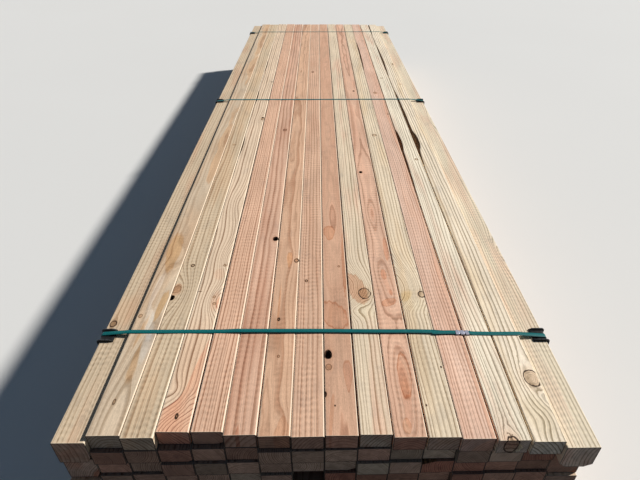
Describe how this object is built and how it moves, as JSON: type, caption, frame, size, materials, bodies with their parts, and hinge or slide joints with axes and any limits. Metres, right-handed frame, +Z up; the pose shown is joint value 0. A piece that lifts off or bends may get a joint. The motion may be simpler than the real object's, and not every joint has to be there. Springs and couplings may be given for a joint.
{
  "type": "stack of planed timber battens",
  "caption": "Strapped pack of planed softwood battens laid flat in columns, with square battens along both sides, plastic strapping bands, seals and corner protectors.",
  "frame": {"origin": "centre of the pack's underside, on the floor", "axes": "+X across the pack to the right as seen from the near end, +Y along the battens away from the near end, +Z up"},
  "size_m": [1.1434, 4.069, 0.3648],
  "materials": {
    "heartwood": "planed, unfinished",
    "sapwood": "planed, unfinished",
    "mixed_wood": "planed, unfinished",
    "strapping_band": "extruded, lightly glossy",
    "zinc_steel": "zinc plated",
    "black_plastic": "moulded, dull"
  },
  "bodies": {
    "root": {"batten_layer_1": "mixed_wood", "batten_layer_2": "mixed_wood", "batten_layer_3": "mixed_wood", "batten_layer_4": "mixed_wood", "batten_layer_5": "mixed_wood", "batten_layer_6": "mixed_wood", "batten_layer_7": "mixed_wood", "top_batten_01": "sapwood", "top_batten_02": "mixed_wood", "top_batten_03": "heartwood", "top_batten_04": "heartwood", "top_batten_05": "heartwood", "top_batten_06": "mixed_wood", "top_batten_07": "heartwood", "top_batten_08": "heartwood", "top_batten_09": "sapwood", "top_batten_10": "heartwood", "top_batten_11": "sapwood", "top_batten_12": "heartwood", "top_batten_13": "sapwood", "top_batten_14": "sapwood", "left_side_batten_1": "mixed_wood", "right_side_batten_1": "sapwood", "left_side_batten_2": "mixed_wood", "right_side_batten_2": "sapwood", "left_side_batten_3": "mixed_wood", "right_side_batten_3": "sapwood", "left_side_batten_4": "mixed_wood", "right_side_batten_4": "sapwood", "left_side_batten_5": "mixed_wood", "right_side_batten_5": "sapwood", "near_strap": "strapping_band", "near_strap_seal": "zinc_steel", "near_left_corner_protector": "black_plastic", "near_right_corner_protector": "black_plastic", "middle_strap": "strapping_band", "middle_strap_seal": "zinc_steel", "middle_left_corner_protector": "black_plastic", "middle_right_corner_protector": "black_plastic", "far_strap": "strapping_band", "far_strap_seal": "zinc_steel", "far_left_corner_protector": "black_plastic", "far_right_corner_protector": "black_plastic"}
  },
  "joints": []
}
